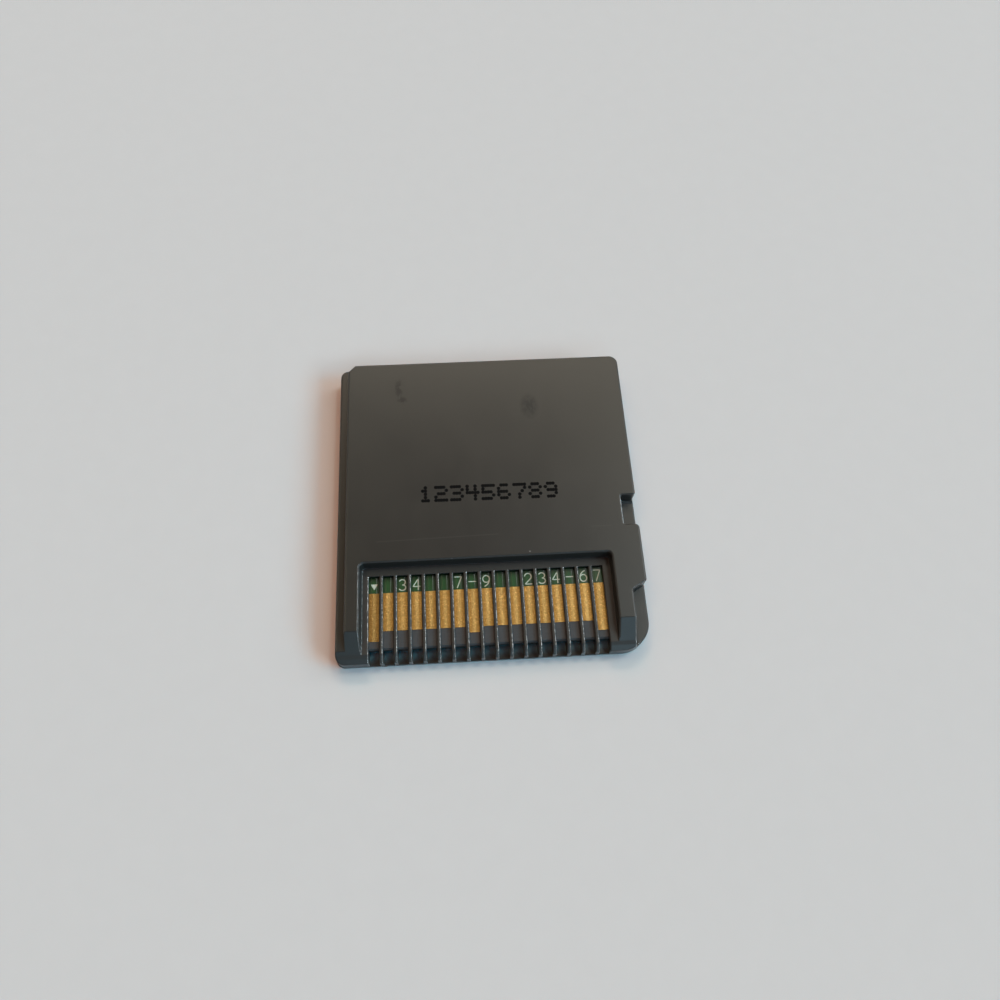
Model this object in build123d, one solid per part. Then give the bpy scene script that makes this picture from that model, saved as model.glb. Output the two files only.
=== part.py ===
from build123d import *
import os
from math import radians, tan

# A game card lying on its label side, contact side up, in millimetres.
# The origin is the middle of its underside, +Z is up and the contact edge is the one at -Y.

# Row of contacts
PAD_COUNT = 17
PAD_PITCH = 1.5
PAD_WIDTH = 1.18
PAD_LENGTH = 4.11
PAD_THICKNESS = 0.05
PAD_SETBACK = 1.95
# Contacts that reach nearer to the board's edge than the rest, so that they touch first
OUTER_PAD_REACH = 1.07
MIDDLE_PAD_REACH = 0.61
MIDDLE_PAD_NUMBER = 8

# Slots of the comb above the contacts
SLOT_WIDTH = 1.12
SLOT_LENGTH = 9.25
RIB_THICKNESS = 0.3
RIB_CLEARANCE = 0.05
RIB_EDGE_BREAK = 0.07

# Contact window, measured on the rear face
WINDOW_LENGTH = 10.35
WINDOW_LEFT_BAND = 0.84
WINDOW_RIGHT_BAND = 1.03
WINDOW_CORNER_RADIUS = 0.5
WINDOW_DRAFT = 6.0
WINDOW_EDGE_BREAK = 0.12

# What lies beside the window, from the left edge to the right
LEFT_FLANGE = 1.14
LEFT_RAIL = 1.52
RIGHT_RAIL = 1.79
KEY_STRIP = 1.56

# Layers from the underside to the rear face
FRONT_WALL = 0.7
BOARD_STANDOFF = 0.5
BOARD_THICKNESS = 0.8
CHIP_STANDOFF = 0.05
CHIP_THICKNESS = 1.0
CHIP_HEADROOM = 0.15
REAR_WALL = 0.6
FLANGE_THICKNESS = 0.65

# Outline
CARD_LENGTH = 35.0
CORNER_CONTACT_LEFT = 0.9
CORNER_CONTACT_RIGHT = 3.0
CORNER_TOP_RIGHT = 1.0
CORNER_TOP_LEFT = 0.85
FLANGE_SETBACK = 0.12
FLANGE_STEP_CORNER = 0.8
FRONT_EDGE_RADIUS = 0.3
REAR_EDGE_RADIUS = 0.18
PARTING_BREAK = 0.1
STEP_CORNER_RADIUS = 0.3
LATCH_CORNER_RADIUS = 0.5
NOTCH_ROOT_RADIUS = 0.2

# Lead-in slope and the upright face left under it at the contact edge
LEAD_IN_LENGTH = 3.05
END_FACE_HEIGHT = 1.85

# Steps in the right edge, measured from the contact edge
KEY_LENGTH = 6.0
KEY_RAMP = 0.95
LATCH_START = 13.4
LATCH_LENGTH = 3.45
LATCH_DEPTH = 1.65

# Inside of the shells
TOP_WALL = 1.3
LEFT_SEAT = 1.36
RIGHT_SEAT = 1.05
BOARD_SETBACK = 1.38
BOARD_CLEARANCE = 0.1
BOARD_CORNER_RADIUS = 0.6
BOARD_EDGE_BEVEL = 0.16
BOARD_GRIP = 0.6
SHELF_WIDTH = 0.8
WINDOW_WALL = 0.8
BAY_CORNER_RADIUS = 0.8
GROOVE_INSET = 0.25
GROOVE_WIDTH = 0.5
GROOVE_DEPTH = 0.5
TONGUE_CLEARANCE = 0.05
SUPPORT_COUNT = 5
SUPPORT_WIDTH = 0.8
SUPPORT_LENGTH = 7.0
PEG_RADIUS = 0.8
PEG_CLEARANCE = 0.05
PEG_INSET = 2.0
PEG_REACH = 0.7
BOSS_WALL = 0.7

# Recess for a label on the underside, left bare
LABEL_MARGIN = 1.9
LABEL_LENGTH = 24.5
LABEL_DEPTH = 0.15
LABEL_CORNER_RADIUS = 1.2

# Chips and small parts on the board
ROM_WIDTH = 12.0
ROM_LENGTH = 9.6
ROM_LEAD_COUNT = 11
ROM_LEAD_PITCH = 1.0
SAVE_WIDTH = 4.0
SAVE_LENGTH = 4.4
SAVE_LEAD_COUNT = 4
SAVE_LEAD_PITCH = 0.9
CHIP_GAP = 2.2
CHIP_DRAFT = 7.0
LEAD_THICKNESS = 0.14
LEAD_WIDTH = 0.35
LEAD_SHOULDER = 0.35
LEAD_FOOT = 0.5
SMALL_PART_LENGTH = 1.0
SMALL_PART_WIDTH = 0.5
SMALL_PART_PITCH = 2.0
SMALL_PART_INSET = 2.4
CAPACITOR_COUNT = 4
CAPACITOR_HEIGHT = 0.5
RESISTOR_COUNT = 2
RESISTOR_HEIGHT = 0.35
END_CAP_LENGTH = 0.22
END_CAP_PROUD = 0.02

# Heights
BOARD_BOTTOM = FRONT_WALL + BOARD_STANDOFF
BOARD_TOP = BOARD_BOTTOM + BOARD_THICKNESS
PARTING_HEIGHT = BOARD_TOP
RIB_UNDERSIDE = BOARD_TOP + PAD_THICKNESS + RIB_CLEARANCE
WINDOW_FLOOR = RIB_UNDERSIDE + RIB_THICKNESS
ROOF_HEIGHT = BOARD_TOP + CHIP_STANDOFF + CHIP_THICKNESS + CHIP_HEADROOM
CARD_THICKNESS = ROOF_HEIGHT + REAR_WALL
FLANGE_TOP = PARTING_HEIGHT + FLANGE_THICKNESS

# Places along X
SLOT_ROW = (PAD_COUNT - 1) * PAD_PITCH + SLOT_WIDTH
WINDOW_WIDTH = WINDOW_LEFT_BAND + SLOT_ROW + WINDOW_RIGHT_BAND
CARD_WIDTH = LEFT_FLANGE + LEFT_RAIL + WINDOW_WIDTH + RIGHT_RAIL + KEY_STRIP
CARD_LEFT = -CARD_WIDTH / 2
CARD_RIGHT = CARD_WIDTH / 2
FLANGE_LEFT = CARD_LEFT + FLANGE_SETBACK
REAR_LEFT = CARD_LEFT + LEFT_FLANGE
WINDOW_LEFT = REAR_LEFT + LEFT_RAIL
WINDOW_RIGHT = WINDOW_LEFT + WINDOW_WIDTH
KEY_WALL = CARD_RIGHT - KEY_STRIP
LATCH_WALL = CARD_RIGHT - LATCH_DEPTH
FIRST_PAD = WINDOW_LEFT + WINDOW_LEFT_BAND + SLOT_WIDTH / 2
PAD_PLACES = [FIRST_PAD + PAD_PITCH * i for i in range(PAD_COUNT)]
PAD_REACH = {1: OUTER_PAD_REACH, MIDDLE_PAD_NUMBER: MIDDLE_PAD_REACH, PAD_COUNT: OUTER_PAD_REACH}
POCKET_LEFT = REAR_LEFT + LEFT_SEAT
POCKET_RIGHT = KEY_WALL - RIGHT_SEAT
BAY_LEFT = POCKET_LEFT + BOARD_GRIP
BAY_RIGHT = POCKET_RIGHT - BOARD_GRIP
BAY_CENTRE = (BAY_LEFT + BAY_RIGHT) / 2

# Places along Y
CONTACT_EDGE = -CARD_LENGTH / 2
TOP_EDGE = CARD_LENGTH / 2
BOARD_EDGE = CONTACT_EDGE + BOARD_SETBACK
BAR_BACK = BOARD_EDGE - BOARD_CLEARANCE
SLOT_END = CONTACT_EDGE + SLOT_LENGTH
WINDOW_TOP = CONTACT_EDGE + WINDOW_LENGTH
BAY_BOTTOM = WINDOW_TOP + WINDOW_WALL
POCKET_TOP = TOP_EDGE - TOP_WALL
BAY_MIDDLE = (BAY_BOTTOM + POCKET_TOP) / 2

# Pegs of the front shell, in the four corners of the bay
PEG_PLACES = [
    (x, y)
    for x in (BAY_LEFT + PEG_INSET, BAY_RIGHT - PEG_INSET)
    for y in (BAY_BOTTOM + PEG_INSET, POCKET_TOP - PEG_INSET)
]

# How far cutting shapes run past what they cut
OVERRUN = 1.0


def rounded_polygon(corners):
    """Face with straight sides and corners given as (x, y, radius), each rounded by its own radius."""
    points = [(x, y) for x, y, radius in corners]
    return make_face(FilletPolyline(*points, radius=[radius for x, y, radius in corners], close=True))


def block(left, right, front, back, low, high):
    """Box between two places on each axis."""
    return Pos(left, front, low) * Box(right - left, back - front, high - low, align=Align.MIN)


def pocket(left, right, front, back, low, high, radius):
    """Box with upright edges rounded."""
    outline = RectangleRounded(right - left, back - front, radius)
    return extrude(Pos((left + right) / 2, (front + back) / 2, low) * outline, high - low)


def post(x, y, radius, low, high):
    """Upright round post between two heights."""
    return Pos(x, y, low) * Cylinder(radius, high - low, align=(Align.CENTER, Align.CENTER, Align.MIN))


def card_prism(low, high):
    """The card's whole outline, with its four different corners, between two heights."""
    outline = rounded_polygon([
        (CARD_LEFT, CONTACT_EDGE, CORNER_CONTACT_LEFT),
        (CARD_RIGHT, CONTACT_EDGE, CORNER_CONTACT_RIGHT),
        (CARD_RIGHT, TOP_EDGE, CORNER_TOP_RIGHT),
        (CARD_LEFT, TOP_EDGE, CORNER_TOP_LEFT),
    ])
    return extrude(Pos(0, 0, low) * outline, high - low)


def slope_point(x, height):
    """Point of the lead-in slope, which runs from the rear face down to the contact edge."""
    fall = (CARD_THICKNESS - height) / (CARD_THICKNESS - END_FACE_HEIGHT)
    return Vector(x, CONTACT_EDGE + LEAD_IN_LENGTH * (1 - fall), height)


def slope_plane():
    """Plane of the lead-in slope: its Y runs up the slope, from the crest, and its Z points out of it."""
    crest = slope_point(0, CARD_THICKNESS)
    up_slope = crest - slope_point(0, END_FACE_HEIGHT)
    return Plane(origin=crest, x_dir=(1, 0, 0), z_dir=Vector(1, 0, 0).cross(up_slope))


def lead_in_cut():
    """All that lies above the lead-in slope."""
    above = (Align.CENTER, Align.CENTER, Align.MIN)
    return slope_plane() * Box(2 * CARD_WIDTH, 4 * LEAD_IN_LENGTH, CARD_THICKNESS, align=above)


def slope_edge_break(crest_x, low_x, low):
    """Square bar laid corner-on along an edge of the lead-in slope, from the crest down to a height."""
    crest = slope_point(crest_x, CARD_THICKNESS)
    run = slope_point(low_x, low) - crest
    section = RegularPolygon(WINDOW_EDGE_BREAK, 4)
    return extrude(Plane(origin=crest, x_dir=(1, 0, 0), z_dir=run) * section, run.length)


def lip_ring(inset, width, low, high):
    """Rim round three sides of the board pocket, open at the contact end."""
    outer = inset + width
    whole = block(POCKET_LEFT - outer, POCKET_RIGHT + outer, WINDOW_TOP, POCKET_TOP + outer, low, high)
    open_end = WINDOW_TOP - OVERRUN
    return whole - block(POCKET_LEFT - inset, POCKET_RIGHT + inset, open_end, POCKET_TOP + inset, low, high)


def front_shell():
    """Lower half: the full outline, with a stepped pocket for the board, pegs and a bare label recess."""
    body = card_prism(0, PARTING_HEIGHT)
    body = fillet(body.faces().sort_by(Axis.Z)[0].edges(), FRONT_EDGE_RADIUS)
    body = chamfer(body.faces().sort_by(Axis.Z)[-1].edges(), PARTING_BREAK)

    label_top = TOP_EDGE - LABEL_MARGIN
    body -= pocket(CARD_LEFT + LABEL_MARGIN, CARD_RIGHT - LABEL_MARGIN, label_top - LABEL_LENGTH, label_top,
                   0, LABEL_DEPTH, LABEL_CORNER_RADIUS)

    # The board lies on a shelf round three sides, above a deeper well
    top = PARTING_HEIGHT + OVERRUN
    body -= block(POCKET_LEFT, POCKET_RIGHT, BAR_BACK - OVERRUN, POCKET_TOP, BOARD_BOTTOM, top)
    body -= block(POCKET_LEFT + SHELF_WIDTH, POCKET_RIGHT - SHELF_WIDTH, BAR_BACK, POCKET_TOP - SHELF_WIDTH,
                  FRONT_WALL, top)
    body -= lip_ring(GROOVE_INSET, GROOVE_WIDTH, PARTING_HEIGHT - GROOVE_DEPTH, top)

    # The contact end is open above the front wall, where the rear shell's toothed bar comes down
    body -= block(CARD_LEFT - OVERRUN, KEY_WALL, CONTACT_EDGE - OVERRUN, BAR_BACK, FRONT_WALL, top)
    body -= lead_in_cut()

    # Bars that carry the board against the push of the console's springs
    support_step = (POCKET_RIGHT - POCKET_LEFT) / (SUPPORT_COUNT + 1)
    for i in range(SUPPORT_COUNT):
        x = POCKET_LEFT + support_step * (i + 1)
        body += block(x - SUPPORT_WIDTH / 2, x + SUPPORT_WIDTH / 2, BOARD_EDGE, BOARD_EDGE + SUPPORT_LENGTH,
                      FRONT_WALL, BOARD_BOTTOM)

    for x, y in PEG_PLACES:
        body += post(x, y, PEG_RADIUS, FRONT_WALL, PARTING_HEIGHT + PEG_REACH)
    return body


def rear_prism(left, top_left_corners, low, high):
    """Outline of the rear half between two heights, stepped twice on the right, from a place on the left."""
    latch_end = LATCH_START + LATCH_LENGTH
    outline = rounded_polygon([
        (left, CONTACT_EDGE, CORNER_CONTACT_LEFT),
        (KEY_WALL, CONTACT_EDGE, STEP_CORNER_RADIUS),
        (KEY_WALL, CONTACT_EDGE + KEY_LENGTH, NOTCH_ROOT_RADIUS),
        (CARD_RIGHT, CONTACT_EDGE + KEY_LENGTH + KEY_RAMP, STEP_CORNER_RADIUS),
        (CARD_RIGHT, CONTACT_EDGE + LATCH_START, LATCH_CORNER_RADIUS),
        (LATCH_WALL, CONTACT_EDGE + LATCH_START, NOTCH_ROOT_RADIUS),
        (LATCH_WALL, CONTACT_EDGE + latch_end, NOTCH_ROOT_RADIUS),
        (CARD_RIGHT, CONTACT_EDGE + latch_end, STEP_CORNER_RADIUS),
        (CARD_RIGHT, TOP_EDGE, CORNER_TOP_RIGHT),
        *top_left_corners,
    ])
    return extrude(Pos(0, 0, low) * outline, high - low) & card_prism(low, high)


def flange_prism(low, high):
    """The rear half with the flange on its left."""
    return rear_prism(FLANGE_LEFT, [(FLANGE_LEFT, TOP_EDGE, CORNER_TOP_LEFT)], low, high)


def raised_prism(low, high):
    """The rear half without the flange, its top left corner cut off."""
    cut_corner = [
        (REAR_LEFT + FLANGE_STEP_CORNER, TOP_EDGE, 0),
        (REAR_LEFT, TOP_EDGE - FLANGE_STEP_CORNER, 0),
    ]
    return rear_prism(REAR_LEFT, cut_corner, low, high)


def window_outline(extra):
    """Plan of the contact window at the rear face, grown by a little, and running off the contact edge."""
    front = CONTACT_EDGE - LEAD_IN_LENGTH
    back = WINDOW_TOP + extra
    radius = WINDOW_CORNER_RADIUS + extra
    return rounded_polygon([
        (WINDOW_LEFT - extra, front, 0),
        (WINDOW_RIGHT + extra, front, 0),
        (WINDOW_RIGHT + extra, back, radius),
        (WINDOW_LEFT - extra, back, radius),
    ])


def window_cut():
    """The window's space: walls that lean in as they go down, and a broken edge at the rear face."""
    rear_face = Pos(0, 0, CARD_THICKNESS)
    walls = extrude(rear_face * window_outline(0), WINDOW_FLOOR - CARD_THICKNESS, taper=WINDOW_DRAFT)
    broken_edge = extrude(rear_face * window_outline(WINDOW_EDGE_BREAK), -WINDOW_EDGE_BREAK, taper=45)
    return walls + broken_edge


def slot_cut():
    """One slot of the comb, from its blind end out through the contact edge, with its upper edges broken."""
    half = SLOT_WIDTH / 2
    flare = half + RIB_EDGE_BREAK
    section = make_face(Polyline(
        (-half, FRONT_WALL),
        (half, FRONT_WALL),
        (half, WINDOW_FLOOR - RIB_EDGE_BREAK),
        (flare, WINDOW_FLOOR),
        (flare, CARD_THICKNESS),
        (-flare, CARD_THICKNESS),
        (-flare, WINDOW_FLOOR),
        (-half, WINDOW_FLOOR - RIB_EDGE_BREAK),
        close=True,
    ))
    level_run = Pos(0, SLOT_END, 0) * extrude(Plane.XZ * section, SLOT_LENGTH + OVERRUN)
    flared = slope_plane() * Rectangle(2 * flare, 4 * LEAD_IN_LENGTH)
    return level_run + extrude(flared, -RIB_EDGE_BREAK, taper=45)


def rear_shell():
    """Upper half: rear face, stepped edges, bay over the chips, and contact window with its comb of ribs."""
    flange = flange_prism(PARTING_HEIGHT, FLANGE_TOP)
    raised = raised_prism(PARTING_HEIGHT, CARD_THICKNESS)
    body = fillet(flange.faces().sort_by(Axis.Z)[-1].edges(), REAR_EDGE_RADIUS)
    body += fillet(raised.faces().sort_by(Axis.Z)[-1].edges(), REAR_EDGE_RADIUS)
    body = chamfer(body.faces().sort_by(Axis.Z)[0].edges(), PARTING_BREAK)

    # Bay over the chips, with a boss for each peg
    body -= pocket(BAY_LEFT, BAY_RIGHT, BAY_BOTTOM, POCKET_TOP,
                   PARTING_HEIGHT, ROOF_HEIGHT, BAY_CORNER_RADIUS)
    socket_radius = PEG_RADIUS + PEG_CLEARANCE
    socket_top = PARTING_HEIGHT + PEG_REACH + PEG_CLEARANCE
    for x, y in PEG_PLACES:
        body += post(x, y, socket_radius + BOSS_WALL, PARTING_HEIGHT, ROOF_HEIGHT)
        body -= post(x, y, socket_radius, PARTING_HEIGHT, socket_top)

    # Toothed bar at the contact edge, which comes down to the front wall beyond the board
    bar = block(CARD_LEFT, KEY_WALL, CONTACT_EDGE, BAR_BACK, FRONT_WALL, PARTING_HEIGHT + PARTING_BREAK)
    body += bar & flange_prism(FRONT_WALL, CARD_THICKNESS)
    body -= block(BAY_LEFT, BAY_RIGHT, BAR_BACK, SLOT_END + BOARD_GRIP, PARTING_HEIGHT, RIB_UNDERSIDE)

    body -= window_cut()
    slot = slot_cut()
    for x in PAD_PLACES:
        body -= Pos(x, 0, 0) * slot

    # Lead-in slope, with its edges broken at the window's walls, clear of their feet, and at the key strip
    body -= lead_in_cut()
    foot_height = WINDOW_FLOOR + 2 * WINDOW_EDGE_BREAK
    lean = (CARD_THICKNESS - foot_height) * tan(radians(WINDOW_DRAFT))
    body -= slope_edge_break(WINDOW_LEFT, WINDOW_LEFT + lean, foot_height)
    body -= slope_edge_break(WINDOW_RIGHT, WINDOW_RIGHT - lean, foot_height)
    body -= slope_edge_break(KEY_WALL, KEY_WALL, END_FACE_HEIGHT)

    # Tongue that fits the front shell's groove
    tongue_inset = GROOVE_INSET + TONGUE_CLEARANCE
    tongue_width = GROOVE_WIDTH - 2 * TONGUE_CLEARANCE
    tongue_low = PARTING_HEIGHT - GROOVE_DEPTH + TONGUE_CLEARANCE
    body += lip_ring(tongue_inset, tongue_width, tongue_low, PARTING_HEIGHT)
    return body


def circuit_board():
    """Board that fills the pocket, bevelled at its contact edge, with a hole for each peg."""
    left = POCKET_LEFT + BOARD_CLEARANCE
    right = POCKET_RIGHT - BOARD_CLEARANCE
    top = POCKET_TOP - BOARD_CLEARANCE
    board = pocket(left, right, BOARD_EDGE, top, BOARD_BOTTOM, BOARD_TOP, BOARD_CORNER_RADIUS)
    contact_face = board.faces().sort_by(Axis.Y)[0]
    board = chamfer(contact_face.edges().filter_by(Axis.X), BOARD_EDGE_BEVEL)
    for x, y in PEG_PLACES:
        board -= post(x, y, PEG_RADIUS + PEG_CLEARANCE, BOARD_BOTTOM, BOARD_TOP)
    return board


def contact_pad(number):
    """Gold contact on the board; a few reach nearer to the edge than the rest."""
    x = PAD_PLACES[number - 1]
    back = BOARD_EDGE + PAD_SETBACK + PAD_LENGTH
    front = BOARD_EDGE + PAD_SETBACK - PAD_REACH.get(number, 0)
    return block(x - PAD_WIDTH / 2, x + PAD_WIDTH / 2, front, back, BOARD_TOP, BOARD_TOP + PAD_THICKNESS)


def chip_body(x, y, width, length):
    """Moulded chip: a straight band at the leads, and faces that lean in above and below it."""
    band_low = BOARD_TOP + CHIP_STANDOFF + (CHIP_THICKNESS - LEAD_THICKNESS) / 2
    half = (CHIP_THICKNESS - LEAD_THICKNESS) / 2
    plan = Rectangle(width, length)
    band = extrude(Pos(x, y, band_low) * plan, LEAD_THICKNESS)
    upper = extrude(Pos(x, y, band_low + LEAD_THICKNESS) * plan, half, taper=CHIP_DRAFT)
    lower = extrude(Pos(x, y, band_low) * plan, -half, taper=CHIP_DRAFT)
    return band + upper + lower


def chip_leads(x, y, length, count, pitch):
    """Bent leads along both ends of a chip: out of its side, down, and along the board."""
    shoulder_low = BOARD_TOP + CHIP_STANDOFF + (CHIP_THICKNESS - LEAD_THICKNESS) / 2
    shoulder_top = shoulder_low + LEAD_THICKNESS
    foot_top = BOARD_TOP + LEAD_THICKNESS
    knee = LEAD_SHOULDER + LEAD_THICKNESS
    toe = LEAD_SHOULDER + LEAD_FOOT
    bend = make_face(Polyline(
        (0, shoulder_low),
        (LEAD_SHOULDER, shoulder_low),
        (LEAD_SHOULDER, BOARD_TOP),
        (toe, BOARD_TOP),
        (toe, foot_top),
        (knee, foot_top),
        (knee, shoulder_top),
        (0, shoulder_top),
        close=True,
    ))
    lead = extrude(Plane.YZ * bend, LEAD_WIDTH / 2, both=True)
    leads = []
    for turn in (0, 180):
        for i in range(count):
            across = (i - (count - 1) / 2) * pitch
            leads.append(Pos(x, y, 0) * Rot(0, 0, turn) * Pos(across, length / 2, 0) * lead)
    return Compound(leads)


def small_part(place, height):
    """Block soldered flat on the board at a place in the row of small parts, with a metal cap at each end."""
    x = BAY_CENTRE + SMALL_PART_PITCH * (place - (CAPACITOR_COUNT + RESISTOR_COUNT - 1) / 2)
    y = BAY_BOTTOM + SMALL_PART_INSET
    left = x - SMALL_PART_LENGTH / 2
    right = x + SMALL_PART_LENGTH / 2
    half = SMALL_PART_WIDTH / 2
    cap_half = half + END_CAP_PROUD
    top = BOARD_TOP + height
    body = block(left, right, y - half, y + half, BOARD_TOP, top)
    for cap_left in (left, right - END_CAP_LENGTH):
        cap_right = cap_left + END_CAP_LENGTH
        body += block(cap_left, cap_right, y - cap_half, y + cap_half, BOARD_TOP, top + END_CAP_PROUD)
    return body


def board_parts():
    """Chips and small parts on the board, each by the name of its node."""
    row_width = ROM_WIDTH + CHIP_GAP + SAVE_WIDTH
    rom_x = BAY_CENTRE - (row_width - ROM_WIDTH) / 2
    save_x = BAY_CENTRE + (row_width - SAVE_WIDTH) / 2
    parts = {
        "rom_chip": chip_body(rom_x, BAY_MIDDLE, ROM_WIDTH, ROM_LENGTH),
        "rom_chip_leads": chip_leads(rom_x, BAY_MIDDLE, ROM_LENGTH, ROM_LEAD_COUNT, ROM_LEAD_PITCH),
        "save_chip": chip_body(save_x, BAY_MIDDLE, SAVE_WIDTH, SAVE_LENGTH),
        "save_chip_leads": chip_leads(save_x, BAY_MIDDLE, SAVE_LENGTH, SAVE_LEAD_COUNT, SAVE_LEAD_PITCH),
    }
    for i in range(CAPACITOR_COUNT):
        parts[f"capacitor_{i + 1}"] = small_part(i, CAPACITOR_HEIGHT)
    for i in range(RESISTOR_COUNT):
        parts[f"resistor_{i + 1}"] = small_part(CAPACITOR_COUNT + i, RESISTOR_HEIGHT)
    return parts


nodes = {
    "front_shell": front_shell(),
    "rear_shell": rear_shell(),
    "circuit_board": circuit_board(),
}
for number in range(1, PAD_COUNT + 1):
    nodes[f"contact_pad_{number:02d}"] = contact_pad(number)
nodes.update(board_parts())

os.makedirs("parts", exist_ok=True)
for name, solid in nodes.items():
    export_step(solid, f"parts/{name}.step")
print(f"card {CARD_WIDTH:.2f} x {CARD_LENGTH:.2f} x {CARD_THICKNESS:.2f} mm, {len(nodes)} nodes")
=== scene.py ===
"""Finishes, prints and studio stage of a small game card lying with its contact side up."""

import bpy
import numpy as np
from bpy.props import FloatProperty, FloatVectorProperty, PointerProperty, StringProperty
from mathutils import Matrix, Vector


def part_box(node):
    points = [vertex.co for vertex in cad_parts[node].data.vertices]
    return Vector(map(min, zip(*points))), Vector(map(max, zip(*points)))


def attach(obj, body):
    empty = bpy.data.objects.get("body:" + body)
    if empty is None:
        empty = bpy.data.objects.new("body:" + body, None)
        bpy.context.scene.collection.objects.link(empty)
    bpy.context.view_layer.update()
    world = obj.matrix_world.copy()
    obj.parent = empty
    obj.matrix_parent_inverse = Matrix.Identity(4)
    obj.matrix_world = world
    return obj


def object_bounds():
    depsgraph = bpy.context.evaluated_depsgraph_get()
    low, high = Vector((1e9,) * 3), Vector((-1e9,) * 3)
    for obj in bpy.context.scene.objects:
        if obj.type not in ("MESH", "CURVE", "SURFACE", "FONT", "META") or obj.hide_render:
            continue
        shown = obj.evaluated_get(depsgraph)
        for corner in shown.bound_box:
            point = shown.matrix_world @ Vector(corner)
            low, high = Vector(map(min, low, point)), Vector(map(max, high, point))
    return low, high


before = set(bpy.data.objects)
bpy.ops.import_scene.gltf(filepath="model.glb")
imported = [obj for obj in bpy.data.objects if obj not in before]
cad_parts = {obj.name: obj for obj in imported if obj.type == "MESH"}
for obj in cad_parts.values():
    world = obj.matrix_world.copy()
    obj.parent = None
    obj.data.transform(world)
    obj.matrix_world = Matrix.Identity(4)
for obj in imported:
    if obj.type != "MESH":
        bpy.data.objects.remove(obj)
CAD_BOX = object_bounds()

bl_info = {
    "name": "Game Card",
    "version": (1, 0, 0),
    "blender": (4, 5, 0),
    "location": "View3D > Sidebar > Game Card",
    "description": "Finishes, prints and stage of a small game card",
    "category": "Object",
}

MM = 0.001
BODY = "root"


def row_of(*starts):
    """Nodes whose names start so, in order, their boxes, and the middles and pitch of their row along x."""
    names = sorted(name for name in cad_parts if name.startswith(starts))
    boxes = [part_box(name) for name in names]
    middles = [(low.x + high.x) / 2 for low, high in boxes]
    return names, boxes, middles, (middles[-1] - middles[0]) / (len(names) - 1)


# Places read from the frame, in metres
FACE_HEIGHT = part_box("rear_shell")[1].z
BOARD_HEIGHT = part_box("circuit_board")[1].z
PADS, PAD_BOXES, PAD_CENTRES, PAD_PITCH = row_of("contact_pad_")
PAD_TOP = PAD_BOXES[0][1].y
SMALL_PARTS, SMALL_BOXES, SMALL_CENTRES, SMALL_PITCH = row_of("capacitor_", "resistor_")
SMALL_LENGTH = SMALL_BOXES[0][1].x - SMALL_BOXES[0][0].x

# Latch notch, in millimetres: its inner wall, its far end and its length, how far the painted highlight on
# its wall spreads, and the length and height of the cove in which its floor runs up to the far end
LATCH_WALL = 14.85
LATCH_END = -0.65
LATCH_LENGTH = 3.45
LATCH_GLINT = 0.3
COVE_LENGTH = 0.5
COVE_HEIGHT = 0.3

# Where the painted highlight on right-hand edges ends, short of the card's outer edge, and how it fades, in
# millimetres
GLINT_END = LATCH_WALL + 0.2
GLINT_FADE = 0.3

# Floor of the slots at the contact edge, in millimetres: its height, and its back, round which dust and
# painted bluish light lie
SLOT_FLOOR = 0.7
SLOT_BACK = -16.2
DUST_AND_LIGHT_REACH = 1.0

# Far end of the slots, in millimetres, and how far the painted shade there reaches over the board
SLOT_TOP = -8.25
SHADE_REACH = 0.8

# Comb of ribs in the window, in millimetres: its top, which is duller than the face, and its left end, past
# which the painted highlight on the window's wall is fainter
COMB_TOP = 2.4
COMB_LEFT = -13.1

# Marks on the rear face, in millimetres: the centre and reach of each spot of the streaked smudge, of the
# rubbed patch and of each nick, and both ends of each flow line
STREAK_SPOTS = (((-9.45, 14.1), (0.6, 1.5)), ((-9.1, 12.5), (0.7, 0.6)))
PATCH_SPOT = ((5.55, 11.05), (1.3, 2.0))
NICK_SPOTS = (((-4.0, -7.13), (0.09, 0.09)), ((4.36, -6.74), (0.08, 0.08)))
FLOW_LINES = (((-12.0, -4.84), (1.0, -4.59)), ((11.3, -4.2), (13.3, -4.2)))
FLOW_WIDTH = 0.22

# Half width of a covered trace, its soft edge, and half width of the streak that springs wipe, in millimetres
TRACE_HALF = 0.22
TRACE_EDGE = 0.08
WIPE_HALF = 0.34

# Depths of the finest detail, in metres, on plastic, board, plating, inner parts and ink
PLASTIC_GRAIN = 0.004 * MM
BOARD_RELIEF = 0.02 * MM
PLATING_GRAIN = 0.03 * MM
PART_GRAIN = 0.006 * MM
INK_GRAIN = 0.003 * MM

# Dot matrix of each digit in the code, five rows of five
DOT_DIGITS = {
    "1": "..#.. .##.. ..#.. ..#.. .###.",
    "2": "####. ....# .###. #.... #####",
    "3": "####. ....# .###. ....# ####.",
    "4": "#..#. #..#. ##### ...#. ...#.",
    "5": "##### #.... ####. ....# ####.",
    "6": ".###. #.... ####. #...# .###.",
    "7": "##### ....# ...#. ..#.. ..#..",
    "8": ".###. #...# .###. #...# .###.",
    "9": ".###. #...# .#### ....# .###.",
}
DOT_GRID = 5

# What the board's legend shows over each contact, a space where it shows nothing
LEGEND_ROW = "v 34  7-9  234-67"

# Middle of a mark of the legend, in heights of a mark from its lower left corner
LEGEND_MIDDLE = (0.31, 0.5)

# How far up its quarter turn a dot's top ring lies, and the angles of the rings that round off a bead's end
DOME_TOP = 0.92
BEAD_END = np.radians([80.0, 55.0, 28.0])

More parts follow.
